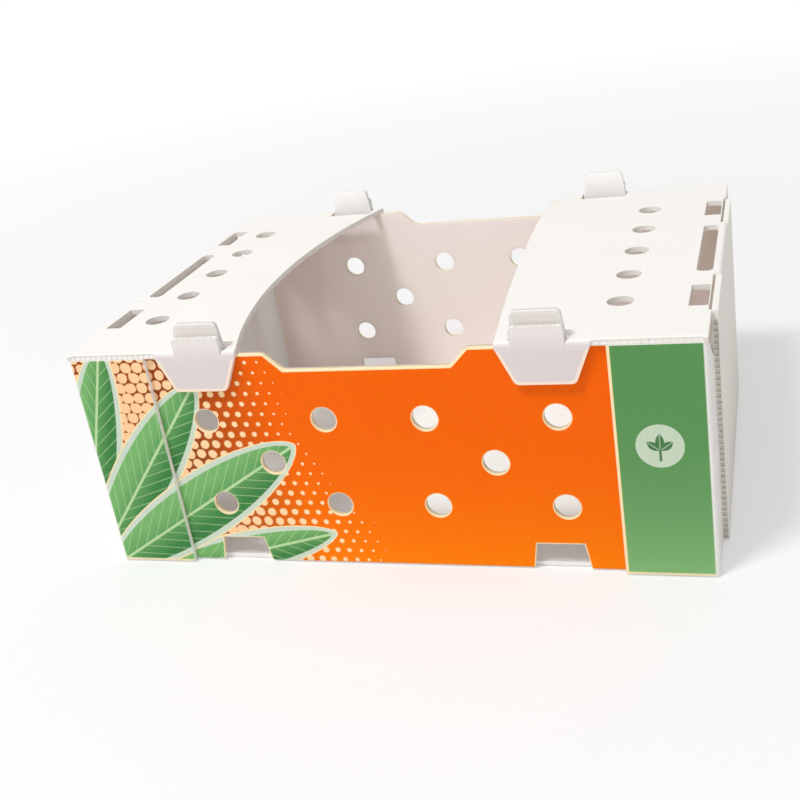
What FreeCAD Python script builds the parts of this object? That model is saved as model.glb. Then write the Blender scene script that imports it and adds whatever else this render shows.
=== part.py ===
# Stackable produce box of fluted plastic sheet: a folded tray and two folded end sheets welded on it.
# Millimetres, +Z up, X along the long walls, origin in the middle of the underside.
import FreeCAD, Part
import os
import Sketcher

SIZES = [
    ("board", 3.5, "thickness of the fluted sheet"),
    ("skin", 0.5, "thickness of each skin of the sheet"),
    ("flute_pitch", 3.75, "distance from one web of the sheet to the next"),
    ("flute_web", 0.6, "thickness of a web between two flutes"),
    ("box_length", 400, "outside, over both end panels"),
    ("box_depth", 300, "outside, over the flaps on both long walls"),
    ("wall_height", 147.5, "long walls and wrap flaps, up to the underside of the shelves"),
    ("fold_radius", 3, "outside of a fold"),
    ("dip_depth", 11, "how much lower the long walls are between the shelves"),
    ("dip_slope", 11, "sideways length of the slopes at both ends of that dip"),
    ("dip_land", 17, "level top of the long wall between the dip and a shelf"),
    ("dip_round", 8, "rounding of the dip's corners"),
    ("end_dip_depth", 27.5, "how much lower the tray's end walls are under the shelves"),
    ("end_dip_inside", 3, "where that dip's floor ends, inside the end panel's edge"),
    ("end_dip_corner", 4, "where its slope reaches full height, from the outside of the long wall"),
    ("wrap_length", 54, "wrap flap, from the outside of the end wall to its cut edge"),
    ("wrap_lift", 1, "lower edge of the wrap flaps and end panels above the ground"),
    ("tab_inset", 95.5, "middle of each stacking tab, from the end of the box"),
    ("inner_tab_base", 33, "tab of the long wall, where it leaves the wall"),
    ("inner_tab_tip", 28, "tab of the long wall, at its tip"),
    ("inner_tab_height", 20.5, "tip of that tab above the wall"),
    ("outer_tab_width", 31, "tab of the hanging flap"),
    ("outer_tab_height", 9, "tip of that tab above the shelf"),
    ("tab_round", 3, "rounding of the tabs' corners"),
    ("window_width", 34.5, "cut in the shelf that a tab was bent out of"),
    ("window_reach", 13, "how far that cut reaches in from the long wall"),
    ("notch_height", 18.5, "stacking notch under each tab"),
    ("notch_tip", 29, "notch at its top"),
    ("notch_mouth", 35, "notch at the ground"),
    ("notch_reach", 7.5, "how far the notch reaches in from the outside"),
    ("drain_inset", 34.5, "middle of the drain slots, from the end of the box"),
    ("drain_width", 19, "drain slot"),
    ("drain_height", 4.5, "drain slot"),
    ("drain_lift", 2, "drain slot above the inside of the bottom"),
    ("vent_diameter", 16, "air holes"),
    ("vent_group", 71.5, "middle air hole of each group, from the middle of the box"),
    ("vent_step_x", 39.5, "outer air holes, sideways from the middle one"),
    ("vent_step_z", 29.5, "outer air holes, up and down from the middle one"),
    ("shelf_vent_inset", 58, "first and last air hole of a shelf, from the outside of the long walls"),
    ("left_vent_inset", 38, "row of air holes in the left shelf, from the end of the box"),
    ("right_vent_inset", 56, "row of air holes in the right shelf, from the end of the box"),
    ("flap_fold_in", 24.5, "hanging flap at its fold, from the tab's middle inwards"),
    ("flap_fold_out", 29.5, "hanging flap at its fold, from the tab's middle outwards"),
    ("flap_tip_in", 14.5, "hanging flap at its lower edge, inwards"),
    ("flap_tip_out", 20, "hanging flap at its lower edge, outwards"),
    ("flap_drop", 26, "lower edge of the hanging flaps below the shelf's top"),
    ("flap_round", 4, "rounding of the hanging flaps' lower corners"),
    ("shelf_step", 1, "free front and back edges of a shelf, behind the outside of the flaps"),
    ("panel_inset", 40, "upright edges of the end panel, from the outside of the long walls"),
    ("panel_slit", 1.5, "slit between shelf and end panel beside the fold"),
    ("panel_drop", 1, "cut top edge of the end panel beside the fold, below the shelf's top"),
    ("panel_fold_inset", 58, "end of that fold, from the end panel's upright edge"),
    ("hand_slot_inset", 6, "end of the hand slot, from the end of the fold"),
    ("hand_slot_width", 10, "hand slot"),
    ("hand_slot_strip", 2, "sheet left between the hand slot and the end wall's outer face"),
    ("hand_slot_round", 4, "rounding of the hand slot's corners"),
    ("lock_inset", 6, "square windows of a shelf, from the end panel's upright edge"),
    ("lock_length", 34, "square windows, along the end of the box"),
    ("lock_width", 11, "square windows, across the shelf"),
    ("groove_depth", 3, "open flutes at the cut edges"),
    ("left_shelf_width", 94, "left shelf at its narrowest"),
    ("right_shelf_width", 133, "right shelf halfway"),
    ("right_turn_width", 137, "right shelf where the corner of its inner edge begins"),
    ("right_bend_width", 132, "right shelf in the middle of that corner"),
    ("right_turn_inset", 38, "where that corner begins, from the outside of the back wall"),
]


class Size:
    """A length with its value now and the spreadsheet expression that it comes from."""

    def __init__(self, value, text):
        self.value = value
        self.text = text

    def join(self, other, sign, value):
        if not isinstance(other, Size):
            other = Size(other, str(other))
        return Size(value, "(" + self.text + " " + sign + " " + other.text + ")")

    def __add__(self, other):
        return self.join(other, "+", self.value + number(other))

    def __sub__(self, other):
        return self.join(other, "-", self.value - number(other))

    def __mul__(self, other):
        return self.join(other, "*", self.value * number(other))

    def __truediv__(self, other):
        return self.join(other, "/", self.value / number(other))

    def __neg__(self):
        return self * -1


def number(size):
    return size.value if isinstance(size, Size) else size


doc = FreeCAD.newDocument("produce_box")
sheet = doc.addObject("Spreadsheet::Sheet", "Sizes")
for row, (alias, value, meaning) in enumerate(SIZES, start=1):
    sheet.set("A" + str(row), alias)
    sheet.set("B" + str(row), str(value))
    sheet.set("C" + str(row), meaning)
    sheet.setAlias("B" + str(row), alias)
doc.recompute()


def size(alias):
    return Size(float(sheet.get(alias)), "Sizes." + alias)


PLANES = {"top": "XY_Plane", "front": "XZ_Plane", "side": "YZ_Plane"}


def new_body(name):
    body = doc.addObject("PartDesign::Body", name)
    body.Label = name
    return body


def new_sketch(body, name, plane, offset=None):
    """A sketch on one of the body's own planes; offset moves it along the plane's normal."""
    sketch = body.newObject("Sketcher::SketchObject", name)
    for feature in body.Origin.OriginFeatures:
        if feature.Role == PLANES[plane]:
            sketch.AttachmentSupport = [(feature, "")]
    sketch.MapMode = "FlatFace"
    if offset is not None:
        sketch.setExpression("AttachmentOffset.Base.z", offset.text)
    return sketch


def hold(sketch, curve, point, spot):
    """Fixes one point of a sketch curve at a spot given by two sizes."""
    for kind, along in (("DistanceX", spot[0]), ("DistanceY", spot[1])):
        index = sketch.addConstraint(Sketcher.Constraint(kind, -1, 1, curve, point, number(along)))
        if isinstance(along, Size):
            sketch.setExpression("Constraints[" + str(index) + "]", along.text)


def vector(spot):
    return FreeCAD.Vector(number(spot[0]), number(spot[1]), 0)


def draw_outline(sketch, corners, bends=None):
    """A closed outline through the corners; bends holds, by corner, a spot on its curved side."""
    bends = bends or {}
    count = len(corners)
    sides = []
    for place in range(count):
        start = vector(corners[place])
        end = vector(corners[(place + 1) % count])
        if place not in bends:
            curve = sketch.addGeometry(Part.LineSegment(start, end), False)
            sides.append((curve, 1, 2))
            continue
        arc = Part.Arc(start, vector(bends[place]), end)
        curve = sketch.addGeometry(arc, False)
        begins = sketch.getPoint(curve, 1).distanceToPoint(start) < 1e-6
        sides.append((curve, 1, 2) if begins else (curve, 2, 1))
        mark = sketch.addGeometry(Part.Point(vector(bends[place])), True)
        sketch.addConstraint(Sketcher.Constraint("PointOnObject", mark, 1, curve))
        hold(sketch, mark, 1, bends[place])
    for place in range(count):
        curve, first, last = sides[place]
        following, its_first, its_last = sides[(place + 1) % count]
        sketch.addConstraint(Sketcher.Constraint("Coincident", curve, last, following, its_first))
        hold(sketch, curve, first, corners[place])


def draw_box(sketch, low, high):
    draw_outline(sketch, [low, (high[0], low[1]), high, (low[0], high[1])])


def draw_circle(sketch, centre, diameter):
    circle = Part.Circle(vector(centre), FreeCAD.Vector(0, 0, 1), number(diameter) / 2)
    curve = sketch.addGeometry(circle, False)
    hold(sketch, curve, 3, centre)
    index = sketch.addConstraint(Sketcher.Constraint("Diameter", curve, number(diameter)))
    sketch.setExpression("Constraints[" + str(index) + "]", diameter.text)


def pad(body, sketch, length, backwards=False):
    doc.recompute()
    feature = body.newObject("PartDesign::Pad", sketch.Label + "_pad")
    feature.Profile = sketch
    feature.Reversed = backwards
    feature.setExpression("Length", length.text)
    doc.recompute()
    return feature


def cut(body, sketch, length=None, backwards=False):
    """A pocket of a given depth, or through everything on both sides."""
    doc.recompute()
    before = body.Shape.Volume
    feature = body.newObject("PartDesign::Pocket", sketch.Label + "_cut")
    feature.Profile = sketch
    feature.Reversed = backwards
    if length is None:
        feature.Type = "ThroughAll"
        feature.Midplane = True
    else:
        feature.setExpression("Length", length.text)
    doc.recompute()
    if feature.Shape.Volume > before - 0.01:
        raise RuntimeError(sketch.Label + " removes nothing")
    return feature


def round_edges(body, name, radius, wanted):
    """Rounds every straight edge whose middle the test accepts."""
    names = []
    last = body.Tip
    for index, edge in enumerate(last.Shape.Edges, start=1):
        if edge.Curve.TypeId != "Part::GeomLine":
            continue
        if wanted(edge.CenterOfMass, edge.tangentAt(edge.FirstParameter)):
            names.append("Edge" + str(index))
    if not names:
        raise RuntimeError(name + " finds no edge")
    feature = body.newObject("PartDesign::Fillet", name)
    feature.Base = (last, names)
    feature.setExpression("Radius", radius.text)
    doc.recompute()
    return feature


def near(first, second):
    return abs(first - second) < 0.05


def is_along(direction, axis):
    return abs(getattr(direction, axis)) > 0.99


board = size("board")
half_length = size("box_length") / 2
half_depth = size("box_depth") / 2
tray_x = half_length - board
tray_y = half_depth - board
room_x = tray_x - board
room_y = tray_y - board
wall_top = size("wall_height")
shelf_top = wall_top + board
fold_radius = size("fold_radius")
tab_x = half_length - size("tab_inset")
tab_tip = shelf_top + size("outer_tab_height")
flap_in = tab_x - size("flap_fold_in")
flap_out = tab_x + size("flap_fold_out")
flap_low = shelf_top - size("flap_drop")
free_y = half_depth - size("shelf_step")
panel_half = half_depth - size("panel_inset")
panel_fold_half = panel_half - size("panel_fold_inset")


def tapered(sketch, centre, low_width, high_width, low, high):
    draw_outline(sketch, [
        (centre - low_width / 2, low),
        (centre + low_width / 2, low),
        (centre + high_width / 2, high),
        (centre - high_width / 2, high),
    ])


def make_tray():
    body = new_body("tray")
    block = new_sketch(body, "tray_block", "top")
    draw_box(block, (-tray_x, -tray_y), (tray_x, tray_y))
    pad(body, block, wall_top)
    round_edges(body, "bottom_folds", fold_radius, lambda spot, direction: near(spot.z, 0))
    room = new_sketch(body, "tray_room", "top", board)
    draw_box(room, (-room_x, -room_y), (room_x, room_y))
    cut(body, room, wall_top, backwards=True)

    lift = size("wrap_lift")
    seam_x = tray_x - size("wrap_length")
    wraps = new_sketch(body, "wrap_flaps", "top", lift)
    for low_x, high_x in ((-tray_x, -seam_x), (seam_x, tray_x)):
        draw_box(wraps, (low_x, -half_depth), (high_x, -tray_y))
        draw_box(wraps, (low_x, tray_y), (high_x, half_depth))
    pad(body, wraps, wall_top - lift)
    round_edges(body, "corner_folds", fold_radius, lambda spot, direction: (
        is_along(direction, "z") and near(abs(spot.x), tray_x.value)
        and near(abs(spot.y), half_depth.value)))

    dip = new_sketch(body, "wall_dip", "front")
    mouth = flap_in - size("dip_land")
    floor = mouth - size("dip_slope")
    dip_floor = wall_top - size("dip_depth")
    above = wall_top + 5
    draw_outline(dip, [
        (-floor, dip_floor),
        (floor, dip_floor),
        (mouth, wall_top),
        (mouth, above),
        (-mouth, above),
        (-mouth, wall_top),
    ])
    cut(body, dip)

    low_half = panel_half - size("end_dip_inside")
    high_half = half_depth - size("end_dip_corner")
    end_top = wall_top - size("end_dip_depth")
    for name, place, backwards in (("right", tray_x, False), ("left", -tray_x, True)):
        slope = new_sketch(body, "end_dip_" + name, "side", place)
        draw_outline(slope, [
            (-low_half, end_top),
            (low_half, end_top),
            (high_half, wall_top),
            (high_half, above),
            (-high_half, above),
            (-high_half, wall_top),
        ])
        cut(body, slope, board, backwards)

    vents = new_sketch(body, "wall_vents", "front")
    for side in (-1, 1):
        group = size("vent_group") * side
        middle = wall_top / 2
        draw_circle(vents, (group, middle), size("vent_diameter"))
        for across in (-1, 1):
            for up in (-1, 1):
                spot = (group + size("vent_step_x") * across, middle + size("vent_step_z") * up)
                draw_circle(vents, spot, size("vent_diameter"))
    cut(body, vents)

    for name, outside, inside, backwards in (
            ("front", half_depth, room_y - 0.5, False), ("back", -half_depth, -room_y + 0.5, True)):
        tabs = new_sketch(body, name + "_tabs", "front", tray_y if name == "front" else -tray_y)
        for side in (-1, 1):
            tapered(tabs, tab_x * side, size("inner_tab_base"), size("inner_tab_tip"),
                    wall_top, wall_top + size("inner_tab_height"))
        pad(body, tabs, board, backwards=name == "front")

        notches = new_sketch(body, name + "_notches", "front", outside)
        for side in (-1, 1):
            tapered(notches, tab_x * side, size("notch_mouth"), size("notch_tip"),
                    0, size("notch_height"))
        cut(body, notches, size("notch_reach"), backwards)

        drains = new_sketch(body, name + "_drains", "front", inside)
        half = size("drain_width") / 2
        low = board + size("drain_lift")
        for side in (-1, 1):
            middle = (half_length - size("drain_inset")) * side
            draw_box(drains, (middle - half, low), (middle + half, low + size("drain_height")))
        cut(body, drains, board + 0.5, backwards=name == "front")

    round_edges(body, "dip_corners", size("dip_round"), lambda spot, direction: (
        is_along(direction, "y") and (
            near(abs(spot.x), mouth.value) and near(spot.z, wall_top.value)
            or near(abs(spot.x), floor.value) and near(spot.z, dip_floor.value))))
    round_edges(body, "tab_corners", size("tab_round"), lambda spot, direction: (
        is_along(direction, "y") and near(spot.z, (wall_top + size("inner_tab_height")).value)))
    return body


def make_end(name, side, vents_x, inner_edge, bends):
    """One end sheet; side is 1 for the right end and -1 for the left.

    inner_edge holds the corners of the shelf's inner edge between its two folds, from back to front, and
    bends the spots that its curves go through."""
    body = new_body(name)
    wall_x = tray_x * side
    end_x = half_length * side
    shelf = new_sketch(body, name + "_shelf", "top", wall_top)
    corners = [
        (flap_in * side, -tray_y),
        (flap_in * side, -half_depth),
        (flap_out * side, -half_depth),
        (flap_out * side, -free_y),
        (wall_x, -free_y),
        (wall_x, -panel_fold_half),
        (end_x, -panel_fold_half),
        (end_x, panel_fold_half),
        (wall_x, panel_fold_half),
        (wall_x, free_y),
        (flap_out * side, free_y),
        (flap_out * side, half_depth),
        (flap_in * side, half_depth),
        (flap_in * side, tray_y),
    ]
    curves = {}
    for order, spot in enumerate(bends):
        curves[len(corners) - 1 + order] = spot
    draw_outline(shelf, corners + inner_edge, curves)
    pad(body, shelf, board)
    round_edges(body, name + "_flap_folds", fold_radius, lambda spot, direction: (
        is_along(direction, "x") and near(spot.z, shelf_top.value) and near(abs(spot.y), half_depth.value)))
    round_edges(body, name + "_panel_fold", fold_radius, lambda spot, direction: (
        is_along(direction, "y") and near(spot.z, shelf_top.value) and near(abs(spot.x), half_length.value)))

    add_panel(body, name, side)
    add_hanging_flaps(body, name, side)
    cut_openings(body, name, side, vents_x)
    add_flutes(body, name, side)
    add_grooves(body, name, side)
    return body


def add_panel(body, name, side):
    """The end panel, joined to the shelf by the fold in its middle only."""
    panel = new_sketch(body, name + "_panel", "side", tray_x * side)
    low = size("wrap_lift")
    top = shelf_top - size("panel_drop")
    draw_outline(panel, [
        (-panel_half, low),
        (panel_half, low),
        (panel_half, top),
        (panel_fold_half, top),
        (panel_fold_half, wall_top),
        (-panel_fold_half, wall_top),
        (-panel_fold_half, top),
        (-panel_half, top),
    ])
    pad(body, panel, board, backwards=side < 0)


def add_hanging_flaps(body, name, side):
    """The flaps on the outside of both long walls, each with a tab that stands up from it."""
    middle = tab_x * side
    tab_half = size("outer_tab_width") / 2
    for label, place, backwards in (("_back", tray_y, True), ("_front", -tray_y, False)):
        flap = new_sketch(body, name + label + "_flap", "front", -place)
        draw_outline(flap, [
            (flap_in * side, wall_top),
            (middle - size("flap_tip_in") * side, flap_low),
            (middle + size("flap_tip_out") * side, flap_low),
            (flap_out * side, wall_top),
        ])
        pad(body, flap, board, backwards)
        tab = new_sketch(body, name + label + "_tab", "front", -place)
        draw_box(tab, (middle - tab_half, wall_top), (middle + tab_half, tab_tip))
        pad(body, tab, board, backwards)
    round_edges(body, name + "_tab_corners", size("tab_round"), lambda spot, direction: (
        is_along(direction, "y") and near(spot.z, tab_tip.value)))
    round_edges(body, name + "_flap_corners", size("flap_round"), lambda spot, direction: (
        is_along(direction, "y") and near(spot.z, flap_low.value)))


def cut_openings(body, name, side, vents_x):
    """Everything cut through the shelf: tab windows, air holes, hand slot, square windows and slits."""
    openings = new_sketch(body, name + "_openings", "top", wall_top - 1)
    middle = tab_x * side
    half_window = size("window_width") / 2
    reach = tray_y - size("window_reach")
    draw_box(openings, (middle - half_window, -tray_y), (middle + half_window, -reach))
    draw_box(openings, (middle - half_window, reach), (middle + half_window, tray_y))
    pitch = (half_depth - size("shelf_vent_inset")) / 2
    for step in (-2, -1, 0, 1, 2):
        draw_circle(openings, (vents_x * side, pitch * step), size("vent_diameter"))
    slot_out = (tray_x - size("hand_slot_strip")) * side
    slot_in = slot_out - size("hand_slot_width") * side
    slot_half = panel_fold_half - size("hand_slot_inset")
    draw_box(openings, (slot_in, -slot_half), (slot_out, slot_half))
    lock_in = slot_out - size("lock_width") * side
    lock_far = panel_half - size("lock_inset")
    lock_near = lock_far - size("lock_length")
    slit_in = (tray_x - size("panel_slit")) * side
    for way in (-1, 1):
        draw_box(openings, (lock_in, lock_near * way), (slot_out, lock_far * way))
        draw_box(openings, (slit_in, panel_fold_half * way), (tray_x * side, (panel_half + 1) * way))
    cut(body, openings, board + 2, backwards=True)
    round_edges(body, name + "_hand_slot_corners", size("hand_slot_round"), lambda spot, direction: (
        is_along(direction, "z") and near(abs(spot.y), slot_half.value)
        and abs(spot.x) > abs(slot_in.value) - 1))


def add_flutes(body, name, side):
    """The level flutes of the end panel, open at both of its upright edges."""
    tunnel = new_sketch(body, name + "_flute", "front")
    inner = (tray_x + size("skin")) * side
    outer = (half_length - size("skin")) * side
    first = size("wrap_lift") + size("flute_web") * 2
    draw_box(tunnel, (inner, first), (outer, first + size("flute_pitch") - size("flute_web")))
    flute = cut(body, tunnel)
    pattern = body.newObject("PartDesign::LinearPattern", name + "_flutes")
    pattern.Originals = [flute]
    pattern.Direction = (tunnel, ["V_Axis"])
    pattern.Mode = "Spacing"
    pattern.setExpression("Offset", "Sizes.flute_pitch")
    usable = shelf_top - fold_radius - first - size("flute_web")
    pattern.setExpression("Occurrences", "floor(" + (usable / size("flute_pitch")).text + ")")
    doc.recompute()
    body.Tip = pattern
    doc.recompute()


def add_grooves(body, name, side):
    """Open flutes along cut edges: the shelf's free edges, the flaps' lower edges and the tabs' tips."""
    skin = size("skin")
    depth = size("groove_depth")
    rim_end = tray_x - size("panel_slit") - skin * 2
    for label, place, backwards in (("_back", free_y, True), ("_front", -free_y, False)):
        rim = new_sketch(body, name + label + "_shelf_groove", "front", -place)
        draw_box(rim, ((flap_out + skin * 2) * side, wall_top + skin), (rim_end * side, shelf_top - skin))
        cut(body, rim, depth, backwards)
    middle = tab_x * side
    flap_margin = size("flap_round") + skin
    tab_reach = size("outer_tab_width") / 2 - size("tab_round") - skin
    flap_inwards = size("flap_tip_in") - flap_margin
    flap_outwards = size("flap_tip_out") - flap_margin
    for label, height, low, high, backwards in (
            ("_flap_groove", flap_low, flap_inwards, flap_outwards, True),
            ("_tab_groove", tab_tip, tab_reach, tab_reach, False)):
        rim = new_sketch(body, name + label, "top", height)
        start = middle - low * side
        end = middle + high * side
        draw_box(rim, (start, -half_depth + skin), (end, -tray_y - skin))
        draw_box(rim, (start, tray_y + skin), (end, half_depth - skin))
        cut(body, rim, depth, backwards)


tray = make_tray()
end_left = make_end("end_left", -1, half_length - size("left_vent_inset"), [],
                    [(size("left_shelf_width") - half_length, 0)])
turn_y = half_depth - size("right_turn_inset")
turn = (half_length - size("right_turn_width"), turn_y)
turn_bend = (half_length - size("right_bend_width"), (turn_y + tray_y) / 2)
end_right = make_end("end_right", 1, half_length - size("right_vent_inset"), [turn],
                     [turn_bend, (half_length - size("right_shelf_width"), 0)])

doc.recompute()
for item in doc.Objects:
    if "Invalid" in item.State or "Error" in item.State:
        raise RuntimeError(item.Label + " is not up to date: " + str(item.State))
os.makedirs("parts", exist_ok=True)
for body in (tray, end_left, end_right):
    shape = body.Shape
    if shape.isNull() or not shape.isValid() or len(shape.Solids) != 1:
        raise RuntimeError(body.Label + " is not one valid solid")
    box = shape.BoundBox
    print(body.Label, "faces", len(shape.Faces), "volume", round(shape.Volume),
          "x", round(box.XMin, 2), round(box.XMax, 2), "y", round(box.YMin, 2), round(box.YMax, 2),
          "z", round(box.ZMin, 2), round(box.ZMax, 2))
    shape.exportStep("parts/" + body.Label + ".step")
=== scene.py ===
import math

import bmesh
import bpy
from bpy.props import FloatProperty, FloatVectorProperty, PointerProperty
from mathutils import Euler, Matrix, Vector


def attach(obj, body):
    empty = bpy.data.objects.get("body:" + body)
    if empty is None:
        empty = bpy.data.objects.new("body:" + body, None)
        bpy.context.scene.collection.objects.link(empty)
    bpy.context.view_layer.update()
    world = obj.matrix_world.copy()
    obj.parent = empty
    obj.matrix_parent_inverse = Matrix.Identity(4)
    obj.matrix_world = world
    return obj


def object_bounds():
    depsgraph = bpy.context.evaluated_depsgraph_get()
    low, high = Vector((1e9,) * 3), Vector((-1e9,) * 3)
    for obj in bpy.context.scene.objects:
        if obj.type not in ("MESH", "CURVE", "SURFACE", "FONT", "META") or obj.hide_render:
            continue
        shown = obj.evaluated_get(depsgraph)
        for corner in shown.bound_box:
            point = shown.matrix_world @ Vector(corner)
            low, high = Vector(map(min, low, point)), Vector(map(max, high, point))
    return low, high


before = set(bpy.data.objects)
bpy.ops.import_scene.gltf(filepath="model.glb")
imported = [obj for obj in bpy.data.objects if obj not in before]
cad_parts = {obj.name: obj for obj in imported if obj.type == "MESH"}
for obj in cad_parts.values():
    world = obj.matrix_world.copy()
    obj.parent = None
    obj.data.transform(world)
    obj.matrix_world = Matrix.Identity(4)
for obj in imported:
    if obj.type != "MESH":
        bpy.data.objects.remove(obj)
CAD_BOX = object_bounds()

bl_info = {
    "name": "Produce box of fluted sheet",
    "version": (1, 0, 0),
    "blender": (4, 5, 0),
    "location": "View3D > Sidebar > Produce box",
    "description": "Prints and finishes a stackable produce box of fluted plastic sheet",
    "category": "Object",
}

MM = 0.001

# Faces and cuts of the box, in millimetres from its middle or from the ground.
HALF_LENGTH, HALF_DEPTH = (round(reach / MM, 1) for reach in CAD_BOX[1][:2])
BOARD = 3.5
END_OUTSIDE = HALF_LENGTH - BOARD
END_INSIDE = END_OUTSIDE - BOARD
WALL_OUTSIDE = HALF_DEPTH - BOARD
WALL_INSIDE = WALL_OUTSIDE - BOARD
WALL_TOP = 147.5
DIP_FLOOR = 136.5
DIP_SLOPE = ((63, WALL_TOP), (52, DIP_FLOOR))
FLAP_OUTLINE = ((80, WALL_TOP), (90, 125), (124.5, 125), (134, WALL_TOP))
FLAP_ROUND = 3
# A stacking notch: its middle, its top, and its sloped side counted from its middle.
NOTCH_MIDDLE = 104.5
NOTCH_TOP = 18.5
NOTCH_SIDE = ((14.5, NOTCH_TOP), (17.5, 0))
# A group of five air holes: its middle, the way from there to the outer holes, and their radius.
HOLE_GROUP = (71.5, 73.5)
HOLE_STEP = (39.5, 29.5)
HOLE_RADIUS = 8

# Open flutes of the right end sheet at the back: lowest and highest corner, and the way in.
GROOVES = (
    ((135.0, 146.0, 148.0), (194.0, 149.0, 150.5), (0, -1, 0)),
    ((94.5, 147.0, 125.0), (120.0, 149.5, 128.0), (0, 0, 1)),
    ((92.5, 147.0, 157.0), (116.5, 149.5, 160.0), (0, 0, -1)),
)
# The end panels: their lowest flute in the same way, the middle of the web below it, and their flutes.
LOWEST_FLUTE = ((197.0, 107.0, 2.2), (199.5, 110.0, 5.35), (0, -1, 0))
LOWEST_WEB = 1.9
PANEL_FLUTES = 38

# A fan of leaves from the wall's lower left corner: foot and tip of each, and half its width.
LEAVES = (
    ((-216, 16), (-172, 154), 15),
    ((-178, -12), (-42, 22), 12),
    ((-210, 6), (-116, 126), 17),
    ((-204, -4), (-58, 84), 19),
)
# How far the cream line and the pale rim reach beyond the green, and the step between side ribs.
LEAF_LINE = 4.4
LEAF_RIM = 3.6
RIB_STEP = 10.5
# Where the raster's brown ground and its dots begin on the way to the left end, and where they are full.
BROWN_FADE = (-58, -120)
DOT_FADE = (-34, -138)
# The sprout on the disc: its foot, its fork and the top of its stem, up from the disc's middle, and the
# lean of each leaf in degrees, its length and half its width.
DISC_MIDDLE = (167.5, 86)
SPROUT_FOOT = -9.5
SPROUT_FORK = -3
STEM_TOP = -2
SPROUT_LEAVES = ((0, 11.0, 2.7), (52, 9.5, 2.6), (-52, 9.5, 2.6))

# Noise scales, in clouds to a metre.
TONE_CLOUDS = 9.0
DENT_CLOUDS = 14.0
WEB_CLOUDS = 60.0
DOT_CLOUDS = 150.0
FLOOR_CLOUDS = 3.0
# How much the clouds darken the webs, and how high they stand in millimetres.
WEB_SHADE = 0.1
WEB_RELIEF = 0.05

# Half the floor's side in metres, and middle and width in millimetres of its change to white.
FLOOR_REACH = 6
FLOOR_FADE = (500, 2600)
LAMP_AIM = (0, 0, 0.1)


def ink(red, green, blue):
    """A colour given as 0 to 255 on a screen, in the linear values that Blender keeps."""
    shares = [channel / 255 for channel in (red, green, blue)]
    return tuple(s / 12.92 if s <= 0.04045 else ((s + 0.055) / 1.055) ** 2.4 for s in shares)


def colour(name, description, default):
    return FloatVectorProperty(
        name=name, description=description, default=default, subtype="COLOR", size=3, min=0, max=1)


def length(name, description, millimetres):
    return FloatProperty(
        name=name, description=description, default=millimetres * MM, unit="LENGTH", precision=5)


def power(name, description, watts):
    return FloatProperty(name=name, description=description, default=watts, min=0, unit="POWER")


def position(name, description, metres):
    return FloatVectorProperty(
        name=name, description=description, default=metres, subtype="TRANSLATION", unit="LENGTH", size=3)


def share(name, description, default):
    return FloatProperty(name=name, description=description, default=default, subtype="FACTOR", min=0, max=1)


class PrintSettings(bpy.types.PropertyGroup):
    """Inks and measures of the print on the long walls."""

    orange_top: colour("Orange, top", "Field of the long walls at the top", ink(242, 103, 0))
    orange_foot: colour("Orange, foot", "Field of the long walls at the foot", ink(251, 133, 0))
    green_top: colour("Green, top", "Field of the plain wrap flap at the top", ink(95, 150, 90))
    green_foot: colour("Green, foot", "Field of the plain wrap flap at the foot", ink(136, 185, 124))
    cream: colour("Cream", "Border lines and dots", ink(255, 226, 178))
    peach: colour("Peach", "Large dots of the raster", ink(255, 205, 158))
    brown: colour("Brown", "Ground under the large dots", ink(138, 66, 24))
    leaf_dark: colour("Leaf, dark", "Shaded half of a leaf", ink(66, 132, 72))
    leaf_light: colour("Leaf, light", "Lit half of a leaf", ink(124, 182, 112))
    leaf_vein: colour("Leaf vein", "Ribs of a leaf", ink(186, 216, 164))
    leaf_rim: colour("Leaf rim", "Pale band round a leaf", ink(203, 216, 200))
    disc: colour("Disc", "Round field on the plain wrap flap", ink(199, 215, 192))
    sprout: colour("Sprout", "Small plant on the disc", ink(78, 128, 80))
    seam: length("Seam", "Cut edge of the wrap flaps, from the middle", 142.5)
    border: length("Border", "Cream line along the upper edge", 1.5)
    foot_border: length("Foot border", "Cream line along the foot of the wrap flaps", 2.6)
    seam_border: length("Seam border", "Cream line beside the seam of the plain wrap flap", 1.7)
    hole_rim: length("Hole rim", "Pale line round the air holes and notches", 0.6)
    raster: length("Raster", "Distance between dots in a row", 8.0)
    disc_across: length("Disc diameter", "Round field on the plain wrap flap", 27)
    roughness: share("Roughness", "Of the inks", 0.3)
    uneven: share("Uneven roughness", "How much the roughness of the inks varies", 0.12)


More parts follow.
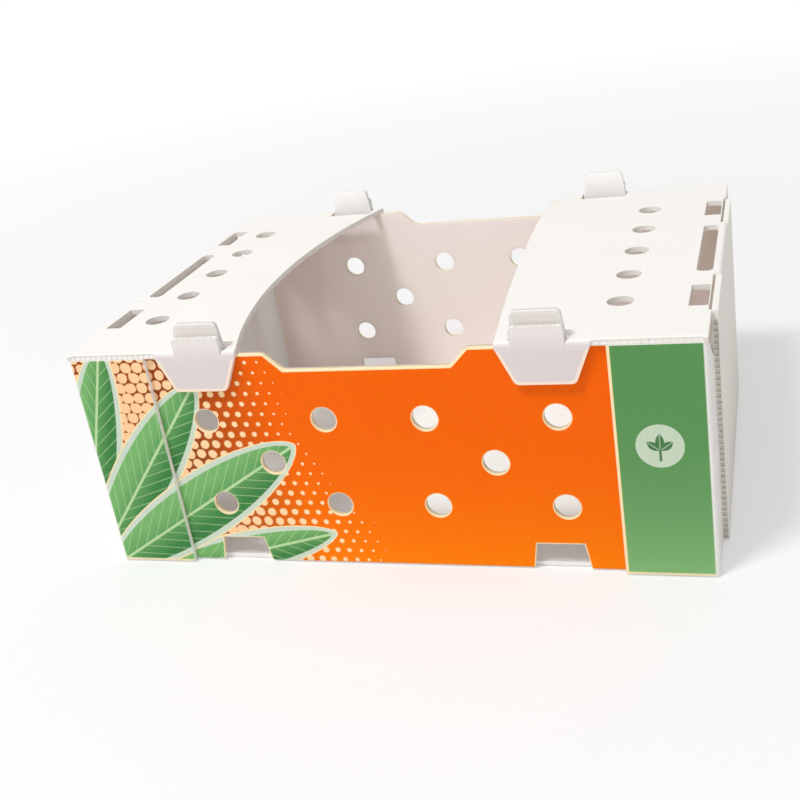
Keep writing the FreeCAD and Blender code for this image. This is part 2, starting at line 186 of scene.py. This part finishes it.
class SheetSettings(bpy.types.PropertyGroup):
    """Look of the bare fluted sheet."""

    outside: colour("Outside", "Bare white sheet", ink(240, 237, 232))
    edge: colour("Cut edge", "Of the printed walls, with the ink glowing through", ink(244, 220, 182))
    inside: colour("Inside", "White sheet with the print glowing through", ink(255, 238, 233))
    # Painted highlight: the tray's inner folds are also painted in this paler white, though print glows
    # through them.
    plain: colour("Plain inside", "White sheet where no print glows through", ink(255, 251, 246))
    # Painted shade: the tabs' fronts are the same white sheet, painted grey for the shade on faces that look
    # to the front and back.
    tab_shade: colour("Stacking tab", "Front of the tray's tabs", ink(217, 212, 206))
    # Painted shade: the end panels are the same white sheet, painted warmer and darker for the shade on
    # faces that look to the ends.
    panel: colour("End panel", "White sheet on the outside of the end walls", ink(239, 234, 226))
    # Painted shade: the flaps are the same white sheet as the shelves, painted greyer for the shade on faces
    # that look to the front and back.
    flap: colour("Hanging flap", "White sheet that lies on the print", ink(219, 209, 208))
    # A lighter, warmer band along the outline of each hanging flap, on its face.
    rim: colour("Flap rim", "Crushed sheet along the outline of a hanging flap", ink(246, 226, 206))
    rim_width: length("Rim width", "Of the crushed outline", 1.8)
    fold_round: length("Fold rounding", "Of the tray's folds on the inside", 4.0)
    pitch: length("Flute pitch", "Distance between the webs of the sheet", 3.75)
    relief: length("Flute relief", "Height of the waves over the webs", 0.03)
    dents: length("Dents", "Height of the wide, shallow dents", 1.2)
    light_reach: length("Light reach", "How far light spreads inside the sheet", 6.0)
    milkiness: share("Milkiness", "Share of the light that enters the tray's sheet", 0.6)
    roughness: share("Roughness", "Of the bare sheet", 0.42)
    uneven: share("Uneven roughness", "How much the roughness of the bare sheet varies", 0.1)
    gloss: share("Gloss", "Strength of the shine of the end sheets", 0.14)
    tray_gloss: share("Tray gloss", "Strength of the shine of the tray and its inks", 0.08)
    web_shade: share("Web shade", "How much darker the sheet is over its webs", 0.015)
    tray_clouds: share("Tray clouds", "Slow changes of tone on the tray", 0.025)
    end_clouds: share("End clouds", "Slow changes of tone on the end sheets", 0.04)


class WebSettings(bpy.types.PropertyGroup):
    """Webs that show in the open flutes of the cut edges."""

    thickness: length("Thickness", "Of one web", 0.45)
    set_back: length("Set back", "Front of the webs, behind the cut edge", 0.15)
    open_depth: length("Open depth", "How far one looks into the flutes of shelves and flaps", 0.7)
    panel_depth: length("Panel depth", "How far one looks into the flutes of the end panels", 1.6)
    # Painted light: the stop is a pale block set in the flute in place of its dark depth, standing in for
    # the light that glows through the thin skins.
    glow_stop_depth: length("Stop depth", "How deep the pale stop behind that is", 1.6)


class StageSettings(bpy.types.PropertyGroup):
    """Camera, lamps and floor."""

    camera_place: position("Camera place", "In front of the box, to its right", (0.2352, -0.7152, 0.3863))
    camera_turn: FloatVectorProperty(
        name="Camera turn", description="Tilt, roll and heading",
        default=tuple(math.radians(angle) for angle in (67.081, 8.237, 15.346)), subtype="EULER", size=3)
    lens: FloatProperty(
        name="Lens", description="Focal length on a 36 mm sensor", default=51.08, unit="CAMERA")
    shift: FloatVectorProperty(name="Shift", description="Of the lens", default=(-0.04, -0.04), size=2)
    floor: colour("Floor", "Plain pale floor", ink(236, 236, 236))
    sky: FloatProperty(name="Sky", description="Even light from all round", default=0.54, min=0)
    key_lamp: power("Key lamp", "Soft lamp above, front left", 93.0)
    key_place: position("Key lamp place", "Above the box, in front of its left end", (-1.03, -1.5, 3.5))
    key_size: length("Key lamp size", "Width of the soft lamp", 820)
    front_lamp: power("Front lamp", "Large lamp low in front", 3.6)
    front_place: position("Front lamp place", "Straight in front of the box", (0.1, -2.0, 0.6))
    front_size: length("Front lamp size", "Width of the large lamp", 1200)


class BoxSettings(bpy.types.PropertyGroup):
    """All that can be changed on the box."""

    print: PointerProperty(type=PrintSettings)
    sheet: PointerProperty(type=SheetSettings)
    webs: PointerProperty(type=WebSettings)
    stage: PointerProperty(type=StageSettings)


class Value:
    """An output of a shader node that can be used in plain sums."""

    def __init__(self, paint, socket):
        self.paint = paint
        self.socket = socket

    def __add__(self, other):
        return self.paint.math("ADD", self, other)

    def __radd__(self, other):
        return self.paint.math("ADD", other, self)

    def __sub__(self, other):
        return self.paint.math("SUBTRACT", self, other)

    def __rsub__(self, other):
        return self.paint.math("SUBTRACT", other, self)

    def __mul__(self, other):
        return self.paint.math("MULTIPLY", self, other)

    def __rmul__(self, other):
        return self.paint.math("MULTIPLY", other, self)

    def __truediv__(self, other):
        return self.paint.math("DIVIDE", self, other)

    def __pow__(self, other):
        return self.paint.math("POWER", self, other)

    def __abs__(self):
        return self.paint.math("ABSOLUTE", self)

    def above(self, edge, blur=0.25):
        """1 where this is larger than edge, 0 where it is smaller, over a soft width."""
        return self.paint.math("ADD", (self - edge) / blur, 0.5, clamp=True)

    def below(self, edge, blur=0.25):
        """1 where this is smaller than edge, 0 where it is larger, over a soft width."""
        return self.paint.math("ADD", (edge - self) / blur, 0.5, clamp=True)

    def clamped(self):
        """This, kept between 0 and 1."""
        return self.paint.math("ADD", self, 0.0, clamp=True)

    def ramp(self, none, full):
        """From 0 where this is none to 1 where it is full."""
        return ((self - none) / (full - none)).clamped()

    def part(self):
        """What follows the decimal point."""
        return self.paint.math("FRACT", self)

    def root(self):
        return self.paint.math("SQRT", self)


class Paint:
    """A material or sky made of nodes; lengths inside it are millimetres on the box."""

    def __init__(self, owner):
        self.owner = owner
        owner.use_nodes = True
        self.tree = owner.node_tree
        self.tree.nodes.clear()

    def node(self, kind, settings, sockets, output=0):
        """Adds any node: its settings first, then the values or links of its sockets."""
        made = self.tree.nodes.new(kind)
        for name, setting in settings.items():
            setattr(made, name, setting)
        for key, given in sockets.items():
            if isinstance(given, Value):
                self.tree.links.new(given.socket, made.inputs[key])
            else:
                made.inputs[key].default_value = given
        return Value(self, made.outputs[output]) if made.outputs else None

    def math(self, operation, *terms, clamp=False):
        settings = {"operation": operation, "use_clamp": clamp}
        return self.node("ShaderNodeMath", settings, dict(enumerate(terms)))

    def most(self, first, second):
        return self.math("MAXIMUM", first, second)

    def least(self, first, second):
        return self.math("MINIMUM", first, second)

    def least_round(self, terms, width):
        """The smallest of the terms, with a soft change from one to the next."""
        least = terms[0]
        for term in terms[1:]:
            least = self.math("SMOOTH_MIN", least, term, width)
        return least

    def darken(self, base, loss):
        """A colour with some of its light taken away: none where loss is 0, all where it is 1."""
        return self.node("ShaderNodeVectorMath", {"operation": "SCALE"}, {0: base, "Scale": 1 - loss})

    def blend(self, cover, under, over):
        """Colour over on colour under, where cover is 1."""
        rgba = [c if isinstance(c, Value) else (*c, 1) for c in (under, over)]
        sockets = {0: cover, 6: rgba[0], 7: rgba[1]}
        return self.node("ShaderNodeMix", {"data_type": "RGBA"}, sockets, output=2)

    def choose(self, cover, under, over):
        """Number over in place of number under, where cover is 1."""
        return under + cover * (over - under)

    def place(self):
        """Where on the box a point lies: x, y and z."""
        here = self.node("ShaderNodeTexCoord", {}, {}, output="Object")
        axes = [self.node("ShaderNodeSeparateXYZ", {}, {"Vector": here}, output=axis) for axis in "XYZ"]
        return [axis / MM for axis in axes]

    def facing(self, axis):
        """How far a surface looks along an axis, without sign."""
        normal = self.node("ShaderNodeNewGeometry", {}, {}, output="Normal")
        return abs(self.node("ShaderNodeSeparateXYZ", {}, {"Vector": normal}, output=axis))

    def noise(self, scale, detail=2.0):
        """Cloudy pattern from 0 to 1; scale counts clouds in a metre."""
        here = self.node("ShaderNodeTexCoord", {}, {}, output="Object")
        return self.node("ShaderNodeTexNoise", {}, {"Vector": here, "Scale": scale, "Detail": detail})

    def finish(self, base, roughness, height, constants):
        """The surface of polypropylene, with a relief in millimetres and the shader's constant sockets."""
        bump = self.node("ShaderNodeBump", {}, {"Strength": 1.0, "Distance": MM, "Height": height})
        sockets = {"Base Color": base, "Roughness": roughness, "IOR": 1.49, "Normal": bump}
        return self.show(self.node("ShaderNodeBsdfPrincipled", {}, {**sockets, **constants}))

    def background_rays(self):
        """1 for the rays that see the background: straight, or by way of gloss or glass."""
        kinds = ("Is Camera Ray", "Is Glossy Ray", "Is Transmission Ray")
        straight, gloss, glass = [self.node("ShaderNodeLightPath", {}, {}, output=kind) for kind in kinds]
        return self.most(straight, self.most(gloss, glass))

    def show(self, shader):
        sky = isinstance(self.owner, bpy.types.World)
        self.node("ShaderNodeOutputWorld" if sky else "ShaderNodeOutputMaterial", {}, {"Surface": shader})
        return self.owner


def apart(first, second):
    """Straight distance over two lengths at right angles."""
    return (first * first + second * second).root()


def left_of(side, up, start, end):
    """How far a point lies to the left of the line from start to end."""
    way = (Vector(end) - Vector(start)).normalized()
    return (up - start[1]) * way.x - (side - start[0]) * way.y


def leaf_swell(paint, way):
    """Half width of a leaf: 0 at its ends, where way is 0 and 1, and 1 in the middle."""
    return paint.most(4 * way * (1 - way), 0)


def lay_leaf(paint, ground, inks, across, up, base, tip, half_width):
    """Draws one leaf on a ground: cream line, pale rim, and two green halves with their ribs."""
    run = Vector(tip) - Vector(base)
    size = run.length
    way = run / size
    along = (across - base[0]) * way.x + (up - base[1]) * way.y
    aside = (up - base[1]) * way.x - (across - base[0]) * way.y

    tone = (aside / half_width * 0.8 + 0.5 + (along / 23).part() * 0.06).clamped()
    rib = abs(aside).below(0.9, 0.4)
    side_ribs = ((along - abs(aside) * 1.5) / RIB_STEP).part().below(0.07, 0.05) * 0.75
    green = paint.blend(tone, inks.leaf_dark, inks.leaf_light)
    green = paint.blend(paint.most(rib, side_ribs), green, inks.leaf_vein)
    for grow, tint in ((LEAF_LINE, inks.cream), (LEAF_RIM, inks.leaf_rim), (0, green)):
        swell = leaf_swell(paint, (along + grow) / (size + 2 * grow))
        edge = swell ** 0.62 * (half_width + grow)
        ground = paint.blend((edge - abs(aside)).above(0.15), ground, tint)
    return ground


def dot_raster(paint, inks, field, across, up):
    """Pale dots on brown that shrink away from the left end, less far at the top than at the foot."""
    fade = across + (up - WALL_TOP / 2) * 0.16
    ground = paint.blend(fade.ramp(*BROWN_FADE) * 0.9, field, inks.brown)
    pitch = inks.raster / MM
    row_height = pitch * math.sin(math.radians(60))
    row = up / row_height
    odd = ((row - row.part()) / 2).part()
    cell_x = ((across / pitch + odd).part() - 0.5) * pitch
    cell_z = (row.part() - 0.5) * row_height
    reach = (fade + up.above(86, 30) * 12 - up.below(44, 30) * 20).ramp(*DOT_FADE)
    uneven = paint.noise(DOT_CLOUDS, 0.0) * 0.5 + 0.75
    radius = reach ** 0.75 * uneven * (pitch * 0.485)
    dot = apart(cell_x, cell_z).below(radius, 0.5) * reach.above(0.02, 0.03)
    return paint.blend(dot, ground, paint.blend(reach, inks.cream, inks.peach))


def lay_sprout(paint, green, inks, across, up):
    """Draws the disc with its small plant on the green of the plain wrap flap."""
    off_x = across - DISC_MIDDLE[0]
    off_z = up - DISC_MIDDLE[1]
    green = paint.blend(apart(off_x, off_z).below(inks.disc_across / 2 / MM), green, inks.disc)
    stem = abs(off_x).below(0.7, 0.3) * off_z.above(SPROUT_FOOT) * off_z.below(STEM_TOP)
    green = paint.blend(stem, green, inks.sprout)
    for lean, reach, half_width in SPROUT_LEAVES:
        way_x, way_z = math.sin(math.radians(lean)), math.cos(math.radians(lean))
        along = off_x * way_x + (off_z - SPROUT_FORK) * way_z
        aside = off_x * way_z - (off_z - SPROUT_FORK) * way_x
        edge = leaf_swell(paint, along / reach) * half_width
        green = paint.blend((edge - abs(aside)).above(0.25, 0.4), green, inks.sprout)
        green = paint.blend(abs(aside).below(0.2, 0.3) * (edge - 0.8).above(0, 0.3), green, inks.disc)
    return green


def cut_rims(paint, side, up):
    """Distance from the nearest air hole or stacking notch of a long wall."""
    off_x = side - HOLE_GROUP[0]
    off_z = up - HOLE_GROUP[1]
    corner_hole = apart(abs(off_x) - HOLE_STEP[0], abs(off_z) - HOLE_STEP[1])
    notch = paint.most(left_of(abs(side - NOTCH_MIDDLE), up, *NOTCH_SIDE), up - NOTCH_TOP)
    return paint.least(paint.least(apart(off_x, off_z), corner_hole) - HOLE_RADIUS, notch)


def print_colour(paint, inks, x, y, z):
    """The print of one long wall with its two wrap flaps, the same on both sides of the box."""
    across = x * (0 - paint.math("SIGN", y))
    side = abs(x)
    seam = inks.seam / MM
    low = (1 - z / WALL_TOP) ** 3

    picture = paint.blend(low, inks.orange_top, inks.orange_foot)
    picture = dot_raster(paint, inks, picture, across, z)
    for base, tip, half_width in LEAVES:
        picture = lay_leaf(paint, picture, inks, across, z, base, tip, half_width)

    green = paint.blend(low, inks.green_top, inks.green_foot)
    green = lay_sprout(paint, green, inks, across, z)
    green = paint.blend(across.below(seam + inks.seam_border / MM), green, inks.cream)
    picture = paint.blend(across.above(seam), picture, green)

    border = inks.border / MM
    below_dip = paint.most(DIP_FLOOR - z, left_of(side, z, *DIP_SLOPE))
    upper_line = paint.most(below_dip.below(border), z.above(WALL_TOP - border) * side.below(seam))
    foot_line = z.below(inks.foot_border / MM) * side.above(seam)
    rims = cut_rims(paint, side, z).below(inks.hole_rim / MM, 0.4) * 0.85
    picture = paint.blend(rims, picture, inks.cream)
    return paint.blend(paint.most(upper_line, foot_line), picture, inks.cream)


def flute_waves(paint, sheet, across):
    """Height of the skin over flutes that are counted along across, from 0 to 1."""
    return paint.math("COSINE", across * (2 * math.pi * MM / sheet.pitch)) * 0.5 + 0.5


def sheet_height(paint, sheet, waves):
    """Relief of the skin in millimetres: waves over the webs and wide, shallow dents."""
    return waves * (sheet.relief / MM) + paint.noise(DENT_CLOUDS) * (sheet.dents / MM)


def inner_folds(paint, radius, side, depth, height):
    """From 0 on the tray's inner faces to 1 where two of them meet in a round fold."""
    rise = -1
    for away in (END_INSIDE - side, WALL_INSIDE - depth, height - BOARD):
        near = paint.most(1 - away / radius, 0)
        rise = near * near + rise
    return paint.least(paint.most(rise, 0), 1)


def shine(gloss):
    """Constant socket of a sheet that lets no light through."""
    return {"Specular IOR Level": gloss}


def glow(sheet):
    """Constant sockets of a thin milky sheet that lets some light through."""
    return {
        **shine(sheet.tray_gloss),
        "Subsurface Weight": sheet.milkiness,
        "Subsurface Radius": (1.0, 1.0, 1.0),
        "Subsurface Scale": sheet.light_reach,
    }


def tray_paint(settings):
    """The printed sheet of the tray: print outside on the long walls, white elsewhere, with painted shade on
    the tabs' fronts and a painted highlight along the inner folds.
    """
    paint = Paint(bpy.data.materials.new("printed_sheet_tray"))
    inks, sheet = settings.print, settings.sheet
    x, y, z = paint.place()
    side, depth = abs(x), abs(y)
    face_y = paint.facing("Y")
    upright = face_y.above(0.7, 0.1)

    on_wrap = side.above(inks.seam / MM, 0.1) * depth.above(HALF_DEPTH - 1)
    across = paint.choose(upright * (1 - on_wrap), paint.choose(on_wrap, y, x), z)
    waves = flute_waves(paint, sheet, across)
    clouds = paint.noise(TONE_CLOUDS)

    fold_round = sheet.fold_round / MM
    inner = side.below(END_INSIDE + 1.8) * depth.below(WALL_INSIDE + 1.5)
    folds = inner_folds(paint, fold_round, side, depth, z) * inner
    # Painted highlight: the inner folds are painted in the paler plain white; the tabs above the wall get it
    # too, as no print glows through them.
    fold_highlight_and_tab = paint.most(folds.above(0.12, 0.15), z.above(WALL_TOP + 0.5, 2))
    unprinted_and_fold_highlight = paint.most(1 - upright, fold_highlight_and_tab)
    bare = paint.blend(inner, sheet.outside, paint.blend(unprinted_and_fold_highlight, sheet.inside, sheet.plain))
    # Painted shade: the outer fronts of the tray's tabs above the wall get the grey tab tone.
    tab_front_shade = depth.above(WALL_OUTSIDE - 0.1) * upright * z.above(WALL_TOP)
    bare = paint.blend(tab_front_shade, bare, sheet.tab_shade)
    in_wall = depth.above(WALL_INSIDE + 0.2, 0.2) * depth.below(WALL_OUTSIDE + 0.2, 0.1)
    cut = in_wall * face_y.below(0.5, 0.2) * z.above(5, 1) * z.below(WALL_TOP + 0.4) * side.below(190, 1)
    bare = paint.blend(cut, bare, sheet.edge)

    on_wall = depth.above(WALL_OUTSIDE - 0.5) * face_y.above(0.55, 0.1)
    printed = on_wall * z.below(WALL_TOP - 0.1) * side.below(END_INSIDE + 1, 0.8)
    base = paint.blend(printed, bare, print_colour(paint, inks, x, y, z))
    shade = paint.darken(base, sheet.web_shade * waves + sheet.tray_clouds * clouds)
    bare_roughness = sheet.roughness + clouds * sheet.uneven
    roughness = paint.choose(printed, bare_roughness, inks.roughness + clouds * inks.uneven)
    height = sheet_height(paint, sheet, waves) + folds * (fold_round / 2)
    return paint.finish(shade, roughness, height, glow(sheet))


def end_paint(settings, name):
    """The bare white sheet of the shelves, end panels and hanging flaps, with painted shade on the flaps and
    the end panels.
    """
    paint = Paint(bpy.data.materials.new(name))
    sheet = settings.sheet
    x, y, z = paint.place()
    side = abs(x)
    across = paint.choose(paint.facing("X").above(0.7, 0.1), x, z - LOWEST_WEB)
    waves = flute_waves(paint, sheet, across)
    clouds = paint.noise(TONE_CLOUDS)

    hangs = abs(y).above(WALL_OUTSIDE - 0.1) * paint.facing("Y").above(0.7, 0.1)
    # Painted shade: the outer faces of the end panels get the warmer, darker panel tone.
    panel = side.above(END_OUTSIDE - 0.3) * z.below(WALL_TOP + 1.5, 3)
    base = paint.blend(panel, sheet.outside, sheet.panel)
    # Painted shade: faces of the end sheets that look to the front and back, the hanging flaps and their
    # tabs, get the greyer flap tone, with half of it above the wall.
    base = paint.blend(hangs * (1 - z.above(WALL_TOP + 2.5, 12) * 0.5), base, sheet.flap)
    edges = [left_of(side, z, *edge) for edge in zip(FLAP_OUTLINE, FLAP_OUTLINE[1:])]
    # A lighter, warmer band along the flap's outline, below the wall's top.
    rim = paint.least_round(edges, FLAP_ROUND).below(sheet.rim_width / MM, 1) * z.below(WALL_TOP - 1.5, 2)
    base = paint.blend(hangs * rim, base, sheet.rim)

    shade = paint.darken(base, sheet.web_shade * waves + sheet.end_clouds * clouds)
    roughness = sheet.roughness + clouds * sheet.uneven
    return paint.finish(shade, roughness, sheet_height(paint, sheet, waves), shine(sheet.gloss))


def web_paint(settings):
    """The bare white sheet of the webs and stops inside open flutes; the stops are painted light, a pale
    surface standing in for the light that glows through the thin skins.
    """
    paint = Paint(bpy.data.materials.new("white_sheet_webs"))
    sheet = settings.sheet
    clouds = paint.noise(WEB_CLOUDS)
    base = paint.darken(tuple(sheet.outside), clouds * WEB_SHADE)
    roughness = sheet.roughness + clouds * sheet.uneven
    return paint.finish(base, roughness, clouds * WEB_RELIEF, shine(sheet.gloss))


def block_row_tree():
    """Geometry nodes that set a row of equal blocks, one step apart."""
    tree = bpy.data.node_groups.new("blocks_in_a_row", "GeometryNodeTree")
    inputs = {}
    for name, kind in (
            ("Start", "NodeSocketVector"), ("Step", "NodeSocketVector"), ("Count", "NodeSocketInt"),
            ("Block", "NodeSocketVector"), ("Finish", "NodeSocketMaterial")):
        inputs[name] = tree.interface.new_socket(name, in_out="INPUT", socket_type=kind).identifier
    tree.interface.new_socket("Row", in_out="OUTPUT", socket_type="NodeSocketGeometry")

    given = tree.nodes.new("NodeGroupInput")
    row = tree.nodes.new("GeometryNodeMeshLine")
    row.mode = "OFFSET"
    block = tree.nodes.new("GeometryNodeMeshCube")
    spread = tree.nodes.new("GeometryNodeInstanceOnPoints")
    real = tree.nodes.new("GeometryNodeRealizeInstances")
    finish = tree.nodes.new("GeometryNodeSetMaterial")
    result = tree.nodes.new("NodeGroupOutput")
    for source, output, target, socket in (
            (given, "Count", row, "Count"), (given, "Start", row, "Start Location"),
            (given, "Step", row, "Offset"), (given, "Block", block, "Size"),
            (row, "Mesh", spread, "Points"), (block, "Mesh", spread, "Instance"),
            (spread, "Instances", real, "Geometry"), (real, "Geometry", finish, "Geometry"),
            (given, "Finish", finish, "Material"), (finish, "Geometry", result, "Row")):
        tree.links.new(source.outputs[output], target.inputs[socket])
    return tree, inputs


def block_row(tree, inputs, start, step, count, block, finish):
    """One evaluated row of blocks as a plain mesh; lengths are millimetres."""
    holder = bpy.data.objects.new("row", bpy.data.meshes.new("row"))
    bpy.context.scene.collection.objects.link(holder)
    modifier = holder.modifiers.new("row", "NODES")
    modifier.node_group = tree
    given = {"Start": start * MM, "Step": step * MM, "Count": count, "Block": block * MM, "Finish": finish}
    for name, setting in given.items():
        modifier[inputs[name]] = setting
    holder.update_tag()
    evaluated = holder.evaluated_get(bpy.context.evaluated_depsgraph_get())
    mesh = bpy.data.meshes.new_from_object(evaluated)
    bpy.data.objects.remove(holder)
    return mesh


def slice_of(groove, near, far):
    """The part of a groove between two depths behind its mouth: middle and size."""
    low, high, inwards = (Vector(given) for given in groove)
    size = high - low
    depth = abs(size.dot(inwards))
    middle = (low + high) / 2 + inwards * ((near + far - depth) / 2)
    for axis in range(3):
        if inwards[axis]:
            size[axis] = far - near
    return middle, size


def edge_rows(settings):
    """Webs and stops of one corner of an end sheet, as start, step, count and size of the blocks; the pale
    stops are painted light for the glow through the thin skins.
    """
    webs = settings.webs
    pitch = settings.sheet.pitch / MM
    front, back, glow_stop = webs.set_back / MM, webs.open_depth / MM, webs.glow_stop_depth / MM
    along_edge, up_panel = Vector((pitch, 0, 0)), Vector((0, 0, pitch))
    rows = []
    for groove in GROOVES:
        first = math.ceil(groove[0][0] / pitch + 0.1)
        last = math.floor(groove[1][0] / pitch - 0.1)
        middle, size = slice_of(groove, front, back)
        middle.x = first * pitch
        size.x = webs.thickness / MM
        rows.append((middle, along_edge, last - first + 1, size))
        middle, size = slice_of(groove, back, back + glow_stop)
        rows.append((middle, along_edge, 1, size))
    back = webs.panel_depth / MM
    middle, size = slice_of(LOWEST_FLUTE, back, back + glow_stop)
    rows.append((middle, up_panel, PANEL_FLUTES, size))
    return rows


def dress(node, material):
    """Gives a CAD piece its material."""
    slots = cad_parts[node].data.materials
    slots.clear()
    slots.append(material)


def lay_floor(context, stage):
    """A wide sheet of pale paper that turns white away from the box."""
    corners = [(-FLOOR_REACH, -FLOOR_REACH, 0), (FLOOR_REACH, -FLOOR_REACH, 0),
               (FLOOR_REACH, FLOOR_REACH, 0), (-FLOOR_REACH, FLOOR_REACH, 0)]
    mesh = bpy.data.meshes.new("floor")
    mesh.from_pydata(corners, [], [(0, 1, 2, 3)])
    floor = bpy.data.objects.new("floor", mesh)
    context.scene.collection.objects.link(floor)
    paint = Paint(bpy.data.materials.new("floor_paper"))
    x, y = paint.place()[:2]
    shaded = tuple(0.9 * channel for channel in stage.floor)
    base = paint.blend(paint.noise(FLOOR_CLOUDS) * 0.04, tuple(stage.floor), shaded)
    lit = paint.node("ShaderNodeBsdfDiffuse", {}, {"Color": base})
    white = paint.node("ShaderNodeEmission", {}, {"Color": (1, 1, 1, 1), "Strength": 1.0})
    paleness = apart(x, y).above(*FLOOR_FADE)
    mixed = paint.node("ShaderNodeMixShader", {}, {0: paleness * paint.background_rays(), 1: lit, 2: white})
    mesh.materials.append(paint.show(mixed))


def light_sky(context, stage):
    """Even light from all round, in front of a white background."""
    paint = Paint(bpy.data.worlds.new("sky"))
    light = paint.node("ShaderNodeBackground", {}, {"Color": (1, 1, 1, 1), "Strength": stage.sky})
    white = paint.node("ShaderNodeBackground", {}, {"Color": (1, 1, 1, 1), "Strength": 1.0})
    mixed = paint.node("ShaderNodeMixShader", {}, {0: paint.background_rays(), 1: light, 2: white})
    context.scene.world = paint.show(mixed)


def hang_lamp(context, name, watts, spot, width):
    """A square lamp that looks at the box."""
    data = bpy.data.lights.new(name, "AREA")
    data.energy = watts
    data.size = width
    lamp = bpy.data.objects.new(name, data)
    context.scene.collection.objects.link(lamp)
    lamp.location = spot
    lamp.rotation_euler = (Vector(spot) - Vector(LAMP_AIM)).to_track_quat("Z", "Y").to_euler()


class BOX_OT_print_tray(bpy.types.Operator):
    """Prints the tray and finishes its bare sheet"""

    bl_idname = "produce_box.print_tray"
    bl_label = "Print tray"

    def execute(self, context):
        dress("tray", tray_paint(context.scene.produce_box))
        return {"FINISHED"}


class BOX_OT_finish_ends(bpy.types.Operator):
    """Gives both end sheets their bare white skin"""

    bl_idname = "produce_box.finish_ends"
    bl_label = "Finish end sheets"

    def execute(self, context):
        for node in ("end_left", "end_right"):
            dress(node, end_paint(context.scene.produce_box, "white_sheet_" + node))
        return {"FINISHED"}


class BOX_OT_add_webs(bpy.types.Operator):
    """Sets the webs into the open flutes of the cut edges"""

    bl_idname = "produce_box.add_webs"
    bl_label = "Add webs"

    def execute(self, context):
        settings = context.scene.produce_box
        finish = web_paint(settings)
        tree, inputs = block_row_tree()
        rows = edge_rows(settings)
        for name, side in (("webs_left", -1), ("webs_right", 1)):
            whole = bmesh.new()
            for way in (-1, 1):
                turn = Vector((side, way, 1))
                for start, step, count, block in rows:
                    row = block_row(tree, inputs, start * turn, step * turn, count, block, finish)
                    whole.from_mesh(row)
                    bpy.data.meshes.remove(row)
            mesh = bpy.data.meshes.new(name)
            whole.to_mesh(mesh)
            whole.free()
            mesh.materials.clear()
            mesh.materials.append(finish)
            piece = bpy.data.objects.new(name, mesh)
            context.scene.collection.objects.link(piece)
            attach(piece, "root")
        return {"FINISHED"}


class BOX_OT_set_stage(bpy.types.Operator):
    """Puts up the floor, the lamps, the sky and the camera"""

    bl_idname = "produce_box.set_stage"
    bl_label = "Set stage"

    def execute(self, context):
        stage = context.scene.produce_box.stage
        lay_floor(context, stage)
        light_sky(context, stage)
        hang_lamp(context, "key_lamp", stage.key_lamp, stage.key_place, stage.key_size)
        hang_lamp(context, "front_lamp", stage.front_lamp, stage.front_place, stage.front_size)
        camera = bpy.data.objects.new("camera", bpy.data.cameras.new("camera"))
        context.scene.collection.objects.link(camera)
        camera.location = stage.camera_place
        camera.rotation_euler = Euler(stage.camera_turn)
        camera.data.lens = stage.lens
        camera.data.sensor_width = 36
        camera.data.shift_x, camera.data.shift_y = stage.shift
        camera.data.clip_start = 0.01
        context.scene.camera = camera
        context.scene.view_settings.view_transform = "Standard"
        return {"FINISHED"}


class BOX_PT_panel(bpy.types.Panel):
    """Sizes, colours and steps of the produce box"""

    bl_idname = "BOX_PT_panel"
    bl_label = "Produce box"
    bl_space_type = "VIEW_3D"
    bl_region_type = "UI"
    bl_category = "Produce box"

    def draw(self, context):
        settings = context.scene.produce_box
        for operator in OPERATORS:
            self.layout.operator(operator.bl_idname)
        for group in (settings.print, settings.sheet, settings.webs, settings.stage):
            column = self.layout.column(align=True)
            for name in group.bl_rna.properties.keys():
                if name not in ("rna_type", "name"):
                    column.prop(group, name)


GROUPS = (PrintSettings, SheetSettings, WebSettings, StageSettings, BoxSettings)
OPERATORS = (BOX_OT_print_tray, BOX_OT_finish_ends, BOX_OT_add_webs, BOX_OT_set_stage)


def register():
    for kind in (*GROUPS, *OPERATORS, BOX_PT_panel):
        bpy.utils.register_class(kind)
    bpy.types.Scene.produce_box = PointerProperty(type=BoxSettings)


def unregister():
    del bpy.types.Scene.produce_box
    for kind in reversed((*GROUPS, *OPERATORS, BOX_PT_panel)):
        bpy.utils.unregister_class(kind)


def main():
    register()
    bpy.ops.produce_box.print_tray()
    bpy.ops.produce_box.finish_ends()
    bpy.ops.produce_box.add_webs()
    bpy.ops.produce_box.set_stage()


if __name__ == "__main__":
    main()
